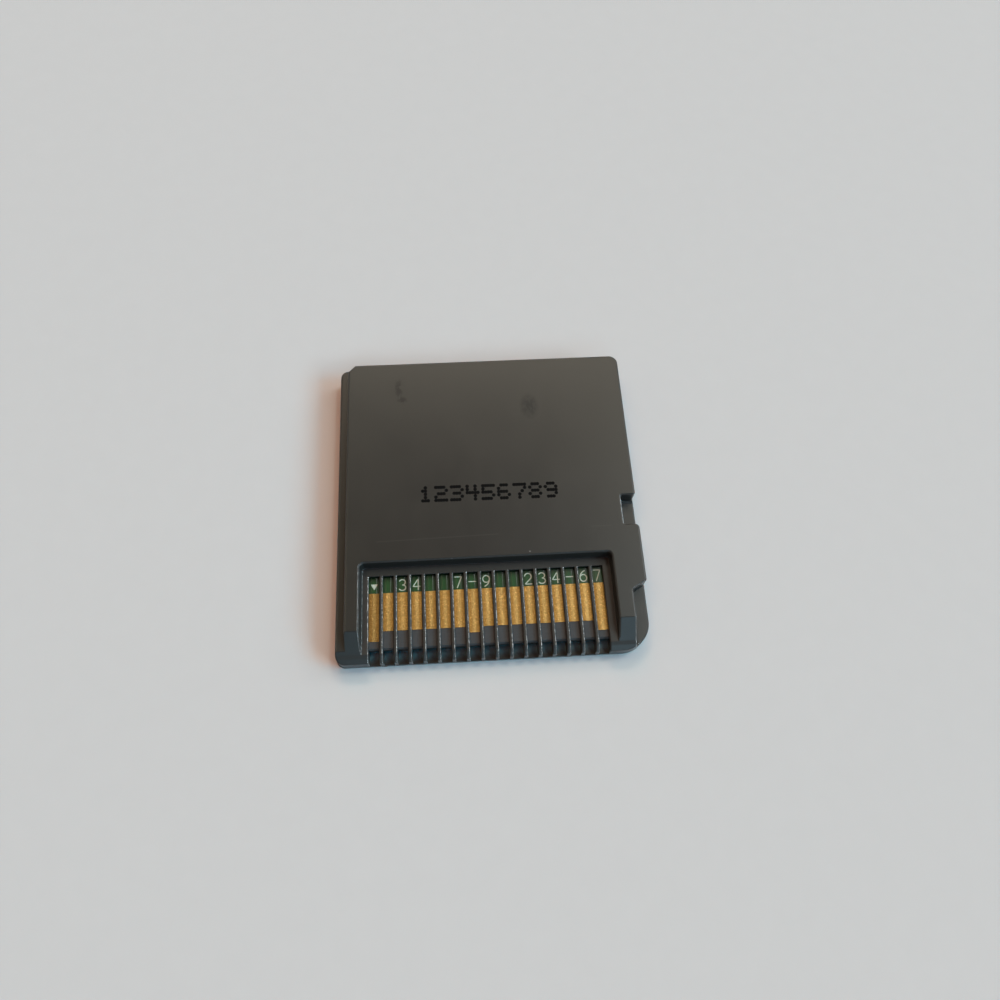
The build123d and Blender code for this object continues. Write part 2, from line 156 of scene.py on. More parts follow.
# Each lamp's tilt from overhead, bearing from +X, width and height, all in degrees as the card sees them,
# the share of the plain level that it gives a level surface in red, green and blue, and whether reflections
# show it
LAMPS = {
    "key": (58, 325, 13, 13, (0.11, 0.13, 0.14), True),
    "key_halo": (54, 346, 20, 20, (0.040, 0.22, 0.320), False),
    "right_strip": (50, 24, 20, 40, (0.17, 0.18, 0.185), True),
    "near_sky": (53, 283, 38, 15, (0.043, 0.067, 0.081), True),
    "warm_top": (8, 200, 24, 24, (0.14, 0.015, 0.0), False),
    "warm_back": (50, 100, 24, 24, (0.09, 0.015, 0.0), False),
    "far_window": (41, 90, 31, 10, (0.158, 0.142, 0.113), True),
    "far_right": (33, 55, 15, 15, (0.048, 0.044, 0.035), True),
    "right_high": (25, 30, 9, 9, (0.088, 0.098, 0.094), True),
    "left_high": (30, 145, 15, 15, (0.070, 0.062, 0.040), True),
    "left_wall": (68, 170, 60, 34, (0.02, 0.019, 0.015), True),
}


class GameCardSizes(bpy.types.PropertyGroup):
    """Sizes of the prints and of the finest surface detail."""

    code: StringProperty(name="Code", description="Digits of the printed code", default="123456789")
    code_centre: FloatVectorProperty(
        name="Code centre", description="Middle of the code on the rear face", size=2, unit="LENGTH",
        default=(0.27 * MM, 0.42 * MM),
    )
    code_pitch: FloatProperty(
        name="Code pitch", description="From one digit of the code to the next", unit="LENGTH",
        default=1.73 * MM,
    )
    dot_columns: FloatProperty(
        name="Dot columns", description="From one column of dots to the next", unit="LENGTH",
        default=0.29 * MM,
    )
    dot_rows: FloatProperty(
        name="Dot rows", description="From one row of dots to the next", unit="LENGTH", default=0.39 * MM,
    )
    dot_width: FloatProperty(
        name="Dot width", description="Across one dot of ink", unit="LENGTH", default=0.41 * MM,
    )
    dot_height: FloatProperty(
        name="Dot height", description="Along one dot of ink", unit="LENGTH", default=0.41 * MM,
    )
    code_tilt: FloatProperty(
        name="Code tilt", description="Turn of the code on the face", subtype="ANGLE",
        default=np.radians(-0.45),
    )
    ink_rise: FloatProperty(
        name="Ink rise", description="Height of the ink over what it is printed on", unit="LENGTH",
        default=0.008 * MM,
    )
    ink_sunk: FloatProperty(
        name="Ink sunk", description="Depth to which the ink has soaked in", unit="LENGTH",
        default=0.004 * MM,
    )
    legend_height: FloatProperty(
        name="Legend height", description="Height of a digit on the board", unit="LENGTH",
        default=1.2 * MM,
    )
    legend_stroke: FloatProperty(
        name="Legend stroke", description="Width of a line of the legend", unit="LENGTH",
        default=0.11 * MM,
    )
    legend_centre: FloatProperty(
        name="Legend centre", description="Middle of the legend, from the origin to the contact edge",
        unit="LENGTH", default=-9.22 * MM,
    )
    arrow_reach: FloatVectorProperty(
        name="Arrow reach", description="From the middle of the legend's arrow to its corners",
        size=2, unit="LENGTH", default=(0.445 * MM, 0.42 * MM),
    )
    edge_round: FloatProperty(
        name="Edge round", description="Radius at which the mouldings' edges catch the light",
        unit="LENGTH", default=0.12 * MM,
    )
    cap_length: FloatProperty(
        name="Cap length", description="Length of the tinned cap at each end of a small part",
        unit="LENGTH", default=0.22 * MM,
    )


class GameCardColours(bpy.types.PropertyGroup):
    """Colours of the finishes."""

    shell: FloatVectorProperty(
        name="Shell", description="Warm grey of the moulded plastic", subtype="COLOR",
        default=(0.0200, 0.0194, 0.0178),
    )
    smudge: FloatVectorProperty(
        name="Smudge", description="Plastic where it is rubbed dark", subtype="COLOR",
        default=(0.004, 0.004, 0.004),
    )
    flow: FloatVectorProperty(
        name="Flow line", description="Line where the plastic met in the mould", subtype="COLOR",
        default=(0.12, 0.12, 0.11),
    )
    nick: FloatVectorProperty(
        name="Nick", description="Plastic laid bare in a nick", subtype="COLOR", default=(0.4, 0.4, 0.38),
    )
    # Painted highlight: pale, metal-like glints laid on right-hand edges, where the lamps on the right catch
    # them
    glint_paint: FloatVectorProperty(
        name="Burnished", description="Glint of edges polished by handling", subtype="COLOR",
        default=(0.80, 0.81, 0.81),
    )
    # Dust and painted bluish light: a pale blue coat on the slot floors, strongest at their shaded back
    dust_and_light: FloatVectorProperty(
        name="Dust", description="Dust at the bottom of the slots", subtype="COLOR",
        default=(0.075, 0.24, 0.31),
    )
    mask: FloatVectorProperty(
        name="Solder mask", description="Green over bare board", subtype="COLOR",
        default=(0.0045, 0.036, 0.0080),
    )
    trace: FloatVectorProperty(
        name="Covered trace", description="Green over copper", subtype="COLOR",
        default=(0.0075, 0.056, 0.0125),
    )
    laminate: FloatVectorProperty(
        name="Laminate", description="Bare board near its edge", subtype="COLOR",
        default=(0.036, 0.042, 0.046),
    )
    gold: FloatVectorProperty(
        name="Gold", description="Plating of the contacts", subtype="COLOR", default=(0.52, 0.28, 0.083),
    )
    gold_worn: FloatVectorProperty(
        name="Worn gold", description="Plating wiped bright by springs", subtype="COLOR",
        default=(0.82, 0.54, 0.21),
    )
    code_ink: FloatVectorProperty(
        name="Code ink", description="Ink of the code", subtype="COLOR", default=(0.004, 0.004, 0.004),
    )
    legend_ink: FloatVectorProperty(
        name="Legend ink", description="Ink of the board's legend", subtype="COLOR",
        default=(0.44, 0.50, 0.41),
    )
    chip: FloatVectorProperty(
        name="Chip", description="Moulded resin of the chips", subtype="COLOR",
        default=(0.018, 0.018, 0.02),
    )
    tin: FloatVectorProperty(
        name="Tin", description="Plating of leads and end caps", subtype="COLOR",
        default=(0.62, 0.62, 0.60),
    )
    capacitor: FloatVectorProperty(
        name="Capacitor", description="Fired ceramic", subtype="COLOR", default=(0.36, 0.25, 0.15),
    )
    resistor: FloatVectorProperty(
        name="Resistor", description="Black glaze", subtype="COLOR", default=(0.02, 0.02, 0.023),
    )
    floor: FloatVectorProperty(
        name="Floor", description="Plain pale floor", subtype="COLOR", default=(0.60, 0.60, 0.585),
    )


class GameCardStage(bpy.types.PropertyGroup):
    """Camera and lamps."""

    camera_place: FloatVectorProperty(
        name="Camera place", description="Where the camera stands", subtype="TRANSLATION", unit="LENGTH",
        default=(-2.07834 * MM, -35.49871 * MM, 84.71764 * MM), precision=6,
    )
    camera_aim: FloatVectorProperty(
        name="Camera aim", description="Point in the middle of the picture", subtype="TRANSLATION",
        unit="LENGTH", default=(1.67134 * MM, 1.02515 * MM, 0.0), precision=6,
    )
    camera_roll: FloatProperty(
        name="Camera roll", description="Turn of the camera about its own axis", subtype="ANGLE",
        default=np.radians(-3.63976),
    )
    lens: FloatProperty(
        name="Lens", description="Focal length in millimetres on a 36 mm sensor", default=28.895,
    )
    floor_drop: FloatProperty(
        name="Floor drop", description="Depth of the floor under the card", unit="LENGTH",
        default=0.02 * MM,
    )
    floor_width: FloatProperty(
        name="Floor width", description="Side of the floor", unit="LENGTH", default=6.0,
    )
    lamp_distance: FloatProperty(
        name="Lamp distance", description="From each lamp to the card", unit="LENGTH", default=20.0,
    )
    room: FloatVectorProperty(
        name="Room light", description="Even light of the room", subtype="COLOR",
        default=(0.05, 0.05, 0.043),
    )
    horizon: FloatVectorProperty(
        name="Horizon", description="Pale band round the floor", subtype="COLOR",
        default=(0.60, 0.60, 0.585),
    )
    horizon_reach: FloatVectorProperty(
        name="Horizon reach", description="Heights, as sines, between which the pale band fades", size=2,
        default=(0.2, 0.5),
    )


class Wire:
    """A shader socket in a sum: each operator adds the Math node that works it out."""

    def __init__(self, finish, socket):
        self.finish = finish
        self.socket = socket

    def out(self, name):
        """Another output of the same node."""
        return Wire(self.finish, self.socket.node.outputs[name])

    def step(self, start, end):
        """0 before start and 1 after end, or the other way round where end is lower, soft between."""
        return self.finish.add(
            "ShaderNodeMapRange", {"interpolation_type": "SMOOTHSTEP"},
            {"Value": self, "From Min": start, "From Max": end},
        )

    def between(self, low, high, soft):
        """1 from low to high, falling to 0 over the width soft on either side."""
        return self.step(low - soft, low) * self.step(high + soft, high)

    def __add__(self, other):
        return self.finish.sum("ADD", self, other)

    def __radd__(self, other):
        return self.finish.sum("ADD", other, self)

    def __sub__(self, other):
        return self.finish.sum("SUBTRACT", self, other)

    def __rsub__(self, other):
        return self.finish.sum("SUBTRACT", other, self)

    def __mul__(self, other):
        return self.finish.sum("MULTIPLY", self, other)

    def __rmul__(self, other):
        return self.finish.sum("MULTIPLY", other, self)

    def __truediv__(self, other):
        return self.finish.sum("DIVIDE", self, other)

    def __pow__(self, other):
        return self.finish.sum("POWER", self, other)

    def __abs__(self):
        return self.finish.sum("ABSOLUTE", self)


class Tree:
    """An emptied node tree of a material or the world, written as expressions."""

    def __init__(self, owner):
        owner.use_nodes = True
        self.tree = owner.node_tree
        self.tree.nodes.clear()

    def add(self, kind, settings, sockets, output=0):
        """A node of that kind, its settings first, then its sockets' values or links."""
        node = self.tree.nodes.new(kind)
        for key, value in settings.items():
            setattr(node, key, value)
        for key, value in sockets.items():
            if isinstance(value, Wire):
                self.tree.links.new(value.socket, node.inputs[key])
            else:
                node.inputs[key].default_value = value
        return Wire(self, node.outputs[output]) if node.outputs else None

    def sum(self, operation, *terms):
        """A Math node on wires and numbers."""
        return self.add("ShaderNodeMath", {"operation": operation}, dict(enumerate(terms)))

    def mix(self, share, first, second):
        """The first colour where share is 0 and the second where it is 1, by a Mix node's colour sockets."""
        return self.add("ShaderNodeMix", {"data_type": "RGBA"}, {0: share, 6: first, 7: second}, 2)

    def shade(self, colour, factor):
        """A colour times a value."""
        return self.add("ShaderNodeVectorMath", {"operation": "SCALE"}, {0: colour, "Scale": factor})


class Finish(Tree):
    """Node tree of one material, on places in millimetres."""

    def __init__(self, name):
        self.material = bpy.data.materials.new(name)
        super().__init__(self.material)
        metres = self.add("ShaderNodeTexCoord", {}, {}, "Object")
        self.place = self.add(
            "ShaderNodeVectorMath", {"operation": "SCALE"}, {0: metres, "Scale": 1 / MM}
        )
        self.x = self.add("ShaderNodeSeparateXYZ", {}, {"Vector": self.place}, "X")
        self.y = self.x.out("Y")
        self.z = self.x.out("Z")

    def noise(self, scale, detail=2.0, stretch=(1.0, 1.0, 1.0)):
        """Noise with about that many grains to the millimetre, pulled out where stretch is small."""
        place = self.add("ShaderNodeVectorMath", {"operation": "MULTIPLY"}, {0: self.place, 1: stretch})
        return self.add("ShaderNodeTexNoise", {}, {"Vector": place, "Scale": scale, "Detail": detail})

    def spot(self, centre, reach):
        """1 in the middle of an ellipse on the card's plane, 0 outside it."""
        across = (self.x - centre[0]) / reach[0]
        along = (self.y - centre[1]) / reach[1]
        return (across * across + along * along).step(1.0, 0.0)

    def stroke(self, start, end, width):
        """1 on a straight line on the card's plane, 0 beyond half its width and past its ends."""
        run = np.subtract(end, start)
        length = float(np.hypot(*run))
        east, north = (run / length).tolist()
        along = (self.x - start[0]) * east + (self.y - start[1]) * north
        across = abs((self.y - start[1]) * east - (self.x - start[0]) * north)
        return across.step(width / 2, 0.0) * along.between(0.0, length, width)

    def bump(self, height, distance, normal=None):
        """A normal, or else the surface's own, tilted by a height of 0 to 1 that stands for that distance."""
        if normal is None:
            normal = self.add("ShaderNodeNewGeometry", {}, {}, "Normal")
        return self.add(
            "ShaderNodeBump", {}, {"Height": height, "Distance": distance, "Normal": normal}
        )

    def edges(self, radius):
        """Normals rounded over the edges at that radius in metres."""
        return self.add("ShaderNodeBevel", {"samples": 8}, {"Radius": radius})

    def turned(self, normal):
        """How far a normal is turned from the surface's own: 0 on flats, 1 on a rounded edge."""
        own = self.add("ShaderNodeNewGeometry", {}, {}, "True Normal")
        same = self.add("ShaderNodeVectorMath", {"operation": "DOT_PRODUCT"}, {0: normal, 1: own}, "Value")
        return (1 - same).step(0.01, 0.08)

    def repeat(self, first, pitch):
        """Number of the place in a row along x, from 0, and the distance in millimetres from its middle."""
        turns = (self.x - first / MM) / (pitch / MM) + 0.5
        return self.sum("FLOOR", turns), abs(self.sum("FRACT", turns) - 0.5) * (pitch / MM)

    def surface(self, **sockets):
        """Ends the tree in one surface and gives the material."""
        named = {key.replace("_", " ").title().replace("Ior", "IOR"): value for key, value in sockets.items()}
        surface = self.add("ShaderNodeBsdfPrincipled", {}, named)
        self.add("ShaderNodeOutputMaterial", {}, {"Surface": surface})
        return self.material


def rgba(colour):
    """A colour of three values with full cover."""
    return (*colour, 1.0)


def dress(material, nodes):
    """Gives each CAD node of that list the finish."""
    for node in nodes:
        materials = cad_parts[node].data.materials
        materials.clear()
        materials.append(material)


def face_marks(finish):
    """Smudges, flow lines and nicks of the rear face, each 1 where it is strongest."""
    face = finish.z.step(FACE_HEIGHT / MM - 0.1, FACE_HEIGHT / MM - 0.02)
    blot = finish.noise(2.6, 4.0, (1.0, 0.5, 1.0)).step(0.42, 0.52)
    streak = sum(finish.spot(*spot) for spot in STREAK_SPOTS)
    smudges = streak * blot + finish.spot(*PATCH_SPOT) * (0.6 + blot * 0.4)
    flow = sum(finish.stroke(*ends, FLOW_WIDTH) for ends in FLOW_LINES)
    nicks = sum(finish.spot(*spot) for spot in NICK_SPOTS)
    return smudges * face, flow * face, nicks * face


def painted_glints(finish, rounded):
    """Painted highlight: glint beads on right-hand rounded edges and the latch notch's wall, faint left of
    the comb.
    """
    right = finish.add("ShaderNodeSeparateXYZ", {}, {"Vector": rounded}, "X")
    inner = finish.x.step(GLINT_END + GLINT_FADE, GLINT_END)
    edges = finish.turned(rounded) * right.step(0.1, 0.4) * inner
    across = finish.x.between(LATCH_WALL - LATCH_GLINT, LATCH_WALL, 0.05)
    along = finish.y.between(LATCH_END - LATCH_LENGTH, LATCH_END + LATCH_GLINT, 0.1)
    latch = across * along * right.step(0.3, 0.6)
    beads = finish.noise(3.8, 1.0).step(0.45, 0.58)
    comb = finish.x.step(COMB_LEFT - 0.2, COMB_LEFT)
    return (edges + latch * 0.6) * (0.2 + beads * 0.8) * (0.4 + comb * 0.6)


def slot_dust_and_light(finish):
    """Dust with painted bluish light on the floor of the slots at the contact edge, 1 where it is strongest.
    """
    floor = finish.z.between(SLOT_FLOOR - 0.01, SLOT_FLOOR + 0.01, 0.01)
    return floor * finish.y.between(SLOT_BACK - 0.1, SLOT_BACK, DUST_AND_LIGHT_REACH)


def latch_cove(finish):
    """Height of the cove at the far end of the latch notch's floor, from 0 to 1."""
    climb = finish.y.step(LATCH_END - COVE_LENGTH, LATCH_END)
    notch = finish.x.step(LATCH_WALL - 0.1, LATCH_WALL)
    middle = FACE_HEIGHT / MM / 2
    return climb ** 2 * notch * finish.z.step(middle + 0.2, middle + 0.15)


def shell_finish(sizes, colours):
    """Satin moulded plastic: grain, cloudy sheen, marks, dust and painted light in the slots, painted glints
    and a dull comb.
    """
    finish = Finish("shell_plastic")
    grain = finish.noise(9.0, 3.0)
    cloud = finish.noise(0.22, 3.0)
    handling = finish.noise(0.55, 2.0, (1.0, 0.35, 1.0))
    smudges, flow, nicks = face_marks(finish)
    rounded = finish.edges(sizes.edge_round)
    glint_share = painted_glints(finish, rounded)
    base = finish.shade(colours.shell, 0.9 + cloud * 0.16 + grain * 0.06)
    base = finish.mix(smudges * (0.7 + grain * 0.4), base, rgba(colours.smudge))
    base = finish.mix(flow * 0.1, base, rgba(colours.flow))
    base = finish.mix(nicks * 0.8, base, rgba(colours.nick))
    # Dust and painted bluish light on the slot floors, strongest at their shaded back
    base = finish.mix(slot_dust_and_light(finish) * (0.6 + grain * 0.6), base, rgba(colours.dust_and_light))
    # Painted highlight: pale metal glints on right-hand edges, in colour, metal and roughness
    base = finish.mix(glint_share, base, rgba(colours.glint_paint))
    comb = finish.z.between(COMB_TOP - 0.2, COMB_TOP + 0.02, 0.02)
    roughness = 0.25 + cloud * 0.05 + handling * 0.06 + (smudges + comb) * 0.2 - glint_share * 0.12
    normal = finish.bump(grain * 0.5 + flow * 0.3, PLASTIC_GRAIN, rounded)
    normal = finish.bump(latch_cove(finish), COVE_HEIGHT * MM, normal)
    return finish.surface(base_color=base, metallic=glint_share, roughness=roughness, normal=normal)


def board_finish(colours):
    """Green mask over lighter traces, with painted shade at the slots' far ends, and bare woven laminate by
    the edge.
    """
    finish = Finish("board_mask_and_laminate")
    edge = PAD_TOP / MM
    masked = finish.y.step(edge - 0.04, edge + 0.04)
    across = finish.repeat(PAD_CENTRES[0], PAD_PITCH)[1]
    top = finish.z.step(BOARD_HEIGHT / MM - 0.05, BOARD_HEIGHT / MM - 0.01)
    trace = across.step(TRACE_HALF + TRACE_EDGE, TRACE_HALF) * top
    cloud = finish.noise(0.6, 2.0)
    fibre = finish.noise(5.0, 2.0, (0.2, 1.0, 1.0)) + finish.noise(5.0, 2.0, (1.0, 0.2, 1.0))
    green = finish.mix(trace, rgba(colours.mask), rgba(colours.trace))
    # Painted shade: the mask darkens towards the slots' far ends, where the window's back wall shades it
    painted_shade = finish.y.step(SLOT_TOP - SHADE_REACH, SLOT_TOP)
    green = finish.shade(green, (0.75 + cloud * 0.5) * (1 - painted_shade * 0.75))
    bare = finish.shade(colours.laminate, 0.6 + fibre * 0.4)
    base = finish.mix(masked, bare, green)
    roughness = 0.62 - masked * 0.3
    normal = finish.bump(trace * masked * 0.8 + fibre * (1 - masked) * 0.2, BOARD_RELIEF)
    return finish.surface(base_color=base, roughness=roughness, normal=normal)


def gold_finish(colours):
    """Matt gold plate, mottled, wiped bright by springs down each contact, and darkened on the first one by
    painted shade.
    """
    finish = Finish("contact_gold")
    number, across = finish.repeat(PAD_CENTRES[0], PAD_PITCH)
    tone = finish.add("ShaderNodeTexWhiteNoise", {"noise_dimensions": "1D"}, {"W": number}, "Value")
    mottle = finish.noise(3.0, 4.0)
    speckle = finish.noise(8.0, 2.0).step(0.54, 0.68)
    scuff = finish.noise(6.0, 2.0, (1.0, 0.12, 1.0))
    streak = across.step(WIPE_HALF, 0.02) * (0.3 + scuff * 0.9)
    base = finish.mix(streak * 0.8, rgba(colours.gold), rgba(colours.gold_worn))
    # Painted shade: the first contact, next to the window's left wall, is darkened
    first = number.step(0.5, 0.0)
    base = finish.shade(base, (0.44 + mottle * 0.62 + tone * 0.08 + speckle * 0.5) * (1 - first * 0.25))
    roughness = 0.48 - streak * 0.1 - speckle * 0.1 + mottle * 0.1
    normal = finish.bump(mottle + scuff * 0.6 + speckle * 0.5, PLATING_GRAIN)
    return finish.surface(base_color=base, metallic=1.0, roughness=roughness, normal=normal)


def plain_finish(name, colour, metallic, roughness, grains):
    """A single material with fine grain in its colour, gloss and surface."""
    finish = Finish(name)
    grain = finish.noise(grains, 3.0)
    cloud = finish.noise(0.8, 2.0)
    base = finish.shade(colour, 0.78 + cloud * 0.24 + grain * 0.2)
    normal = finish.bump(grain, PART_GRAIN)
    return finish.surface(
        base_color=base, metallic=metallic, roughness=roughness - 0.06 + grain * 0.12, normal=normal
    )


def capped_finish(name, colour, sizes, tin):
    """A small part's fired body between two tinned end caps."""
    finish = Finish(name)
    grain = finish.noise(10.0, 3.0)
    across = finish.repeat(SMALL_CENTRES[0], SMALL_PITCH)[1]
    body_half = (SMALL_LENGTH / 2 - sizes.cap_length) / MM
    cap = across.step(body_half - 0.01, body_half + 0.01)
    base = finish.shade(finish.mix(cap, rgba(colour), rgba(tin)), 0.85 + grain * 0.3)
    normal = finish.bump(grain, PART_GRAIN)
    return finish.surface(base_color=base, metallic=cap, roughness=0.5 - cap * 0.15, normal=normal)


def ink_finish(name, colour, roughness, gloss):
    """Ink with a thin, uneven cover, and that level of gloss."""
    finish = Finish(name)
    cover = finish.noise(7.0, 3.0)
    base = finish.shade(colour, 0.7 + cover * 0.6)
    normal = finish.bump(cover, INK_GRAIN)
    uneven = roughness - 0.05 + cover * 0.1
    return finish.surface(base_color=base, roughness=uneven, specular_ior_level=gloss, normal=normal)


def closed_tubes(name, batches, material):
    """A piece of closed tubes.

    A batch is an array of tubes, rings, corners and coordinates. Each ring joins the next by a band of
    four-sided faces that closes round on itself, and the first and last ring of a tube are capped.
    """
    points = []
    faces = []
    used = 0
    for batch in batches:
        tubes, rings, corners, _ = batch.shape
        index = used + np.arange(tubes * rings * corners).reshape(tubes, rings, corners)
        after = np.roll(index, -1, axis=2)
        bands = np.stack([index[:, :-1], after[:, :-1], after[:, 1:], index[:, 1:]], axis=-1)
        faces += bands.reshape(-1, 4).tolist()
        faces += index[:, 0, ::-1].tolist()
        faces += index[:, -1].tolist()
        points.append(batch.reshape(-1, 3))
        used += index.size
    mesh = bpy.data.meshes.new(name)
    mesh.from_pydata(np.concatenate(points).tolist(), [], faces)
    mesh.materials.append(material)
    mesh.update()
    piece = bpy.data.objects.new(name, mesh)
    bpy.context.scene.collection.objects.link(piece)
    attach(piece, BODY)


def low_domes(places, reach, rise, sunk, corners, rings=5):
    """Low domes on a plane, one at each place.

    At share s of the way up and angle t a point is the place plus reach times (cos t, sin t) times the
    square root of cos(s quarter turn), and its height is rise times sin(s quarter turn). The first ring
    repeats the rim at the depth sunk. Reach holds the half width in x and in y. The first corner is the
    one nearest to the contact edge.
    """
    turn = np.linspace(-0.5 * np.pi, 1.5 * np.pi, corners, endpoint=False)
    climb = np.linspace(0.0, DOME_TOP, rings) * np.pi / 2
    narrow = np.concatenate([[1.0], np.sqrt(np.cos(climb))])
    height = np.concatenate([[-sunk], rise * np.sin(climb)])
    ring = np.stack([np.cos(turn) * reach[0], np.sin(turn) * reach[1], np.zeros(corners)], axis=-1)
    dome = ring[None] * narrow[:, None, None]
    dome[:, :, 2] = height[:, None]
    return places[:, None, None, :] + dome[None]


def bead(path, width, rise, sunk, height, corners=10):
    """A bead of ink along a path on a plane, with round ends.

    At angle a round the path a point lies half the width times cos a to the path's left and rise times
    sin a above the plane, or sunk times sin a below it. Three more rings at each end go on by half the
    width times sin f and narrow by cos f, as a half disc does.
    """
    heading = np.gradient(path, axis=0)
    heading /= np.linalg.norm(heading, axis=1, keepdims=True)
    ahead = width / 2 * np.sin(BEAD_END)[:, None]
    taper = np.cos(BEAD_END)
    centres = np.concatenate([path[0] - ahead * heading[0], path, path[-1] + ahead[::-1] * heading[-1]])
    headings = np.concatenate([heading[[0] * len(taper)], heading, heading[[-1] * len(taper)]])
    narrow = np.concatenate([taper, np.ones(len(path)), taper[::-1]])
    lefts = np.stack([-headings[:, 1], headings[:, 0]], axis=-1)
    turn = np.linspace(0.0, 2 * np.pi, corners, endpoint=False)
    aside = np.outer(narrow, np.cos(turn) * width / 2)
    lift = np.outer(narrow, np.sin(turn) * np.where(np.sin(turn) > 0, rise, sunk))
    flat = centres[:, None, :] + aside[:, :, None] * lefts[:, None, :]
    return np.concatenate([flat, (height + lift)[:, :, None]], axis=-1)[None]


def bow(centre, reach, start, end, points=25):
    """Points on an arc of an ellipse, from one angle to another in degrees."""
    turn = np.radians(np.linspace(start, end, points))
    return np.stack([centre[0] + reach[0] * np.cos(turn), centre[1] + reach[1] * np.sin(turn)], axis=-1)


def line(*corners, points=6):
    """Points along straight runs, a few to each run so that the corners stay sharp."""
    corners = np.array(corners, float)
    share = np.linspace(0.0, 1.0, points, endpoint=False)[None, :, None]
    runs = corners[:-1, None] + share * (corners[1:] - corners[:-1])[:, None]
    return np.concatenate([runs.reshape(-1, 2), corners[-1:]])


def legend_strokes(mark):
    """Lines of one mark of the legend, in a box one high and about 0.6 wide. A 6 is a 9 turned round."""
    nine = [bow((0.3, 0.68), (0.3, 0.32), 0, 360), bow((-0.08, 0.68), (0.68, 0.72), 0, -70)]
    strokes = {
        "2": [np.concatenate([bow((0.31, 0.7), (0.3, 0.3), 165, -38), line((0.02, 0.0), (0.62, 0.0))])],
        "3": [np.concatenate([
            bow((0.3, 0.75), (0.27, 0.25), 150, -90),
            bow((0.3, 0.25), (0.31, 0.25), 90, -150),
        ])],
        "4": [line((0.46, 0.0), (0.46, 1.0), (0.0, 0.3), (0.64, 0.3))],
        "6": [np.array([0.6, 1.0]) - stroke for stroke in nine],
        "7": [line((0.0, 1.0), (0.6, 1.0), (0.2, 0.0))],
        "9": nine,
        "-": [line((0.0, 0.5), (0.6, 0.5))],
    }
    return strokes[mark]


def lamp(name, distance, tilt, bearing, width, height, share, in_reflections):
    """A soft rectangular lamp that looks at the origin, which the camera doesn't see itself.

    At distance d and tilt t a lamp of P watts gives a level surface the share P cos t over pi squared d
    squared of the plain level, the one at which a matt surface shows its own colour.
    """
    out, turn = np.radians((tilt, bearing))
    way = Vector((np.sin(out) * np.cos(turn), np.sin(out) * np.sin(turn), np.cos(out)))
    light = bpy.data.lights.new(name, "AREA")
    light.shape = "RECTANGLE"
    light.size = 2 * distance * np.tan(np.radians(width) / 2)
    light.size_y = 2 * distance * np.tan(np.radians(height) / 2)
    light.energy = max(share) * (np.pi * distance) ** 2 / np.cos(out)
    light.color = [part / max(share) for part in share]
    holder = bpy.data.objects.new(name, light)
    holder.location = way * distance
    holder.rotation_mode = "QUATERNION"
    holder.rotation_quaternion = (-way).to_track_quat("-Z", "Y")
    holder.visible_camera = False
    holder.visible_glossy = in_reflections
    bpy.context.scene.collection.objects.link(holder)


def lay_floor(scene, stage):
    """The plain pale floor under the card."""
    half = stage.floor_width / 2
    drop = CAD_BOX[0].z - stage.floor_drop
    mesh = bpy.data.meshes.new("floor")
    corners = [(-half, -half, drop), (half, -half, drop), (half, half, drop), (-half, half, drop)]
    mesh.from_pydata(corners, [], [(0, 1, 2, 3)])
    paper = Finish("floor_paper")
    tooth = paper.noise(0.4, 3.0)
    pale = paper.shade(scene.game_card_colours.floor, 0.985 + tooth * 0.03)
    mesh.materials.append(paper.surface(base_color=pale, roughness=0.85))
    floor = bpy.data.objects.new("floor", mesh)
    scene.collection.objects.link(floor)


def light_room(scene, stage):
    """The world's even light, and a pale band above the floor that only the camera and reflections see."""
    scene.world = bpy.data.worlds.new("room")
    room = Tree(scene.world)
    ray = room.add("ShaderNodeLightPath", {}, {}, "Is Camera Ray")
    seen = ray + ray.out("Is Glossy Ray") + ray.out("Is Transmission Ray")
    way = room.add("ShaderNodeTexCoord", {}, {}, "Generated")
    height = room.add("ShaderNodeSeparateXYZ", {}, {"Vector": way}, "Z")
    low = height.step(stage.horizon_reach[1], stage.horizon_reach[0])
    colour = room.mix(seen * low, rgba(stage.room), rgba(stage.horizon))
    light = room.add("ShaderNodeBackground", {}, {"Color": colour})
    room.add("ShaderNodeOutputWorld", {}, {"Surface": light})


def set_camera(scene, stage):
    """The camera, which looks at its aim with +Y upwards and is then turned on its own axis by its roll."""
    camera = bpy.data.cameras.new("camera")
    camera.lens = stage.lens
    camera.clip_start = MM
    holder = bpy.data.objects.new("camera", camera)
    place = Vector(stage.camera_place)
    back = (place - Vector(stage.camera_aim)).normalized()
    right = Vector((0.0, 1.0, 0.0)).cross(back).normalized()
    upright = Matrix((right, back.cross(right), back)).transposed()
    turn = upright @ Matrix.Rotation(stage.camera_roll, 3, "Z")
    holder.matrix_world = Matrix.Translation(place) @ turn.to_4x4()
    scene.collection.objects.link(holder)
    scene.camera = holder


class GAMECARD_OT_shells(bpy.types.Operator):
    """Give both half shells their moulded finish"""

    bl_idname = "game_card.shells"
    bl_label = "Finish Shells"

    def execute(self, context):
        scene = context.scene
        plastic = shell_finish(scene.game_card_sizes, scene.game_card_colours)
        dress(plastic, ["front_shell", "rear_shell"])
        return {"FINISHED"}


class GAMECARD_OT_board(bpy.types.Operator):
    """Give the board its mask, traces and bare laminate"""

    bl_idname = "game_card.board"
    bl_label = "Finish Board"

    def execute(self, context):
        dress(board_finish(context.scene.game_card_colours), ["circuit_board"])
        return {"FINISHED"}


class GAMECARD_OT_contacts(bpy.types.Operator):
    """Plate the row of contacts"""

    bl_idname = "game_card.contacts"
    bl_label = "Plate Contacts"

    def execute(self, context):
        dress(gold_finish(context.scene.game_card_colours), PADS)
        return {"FINISHED"}


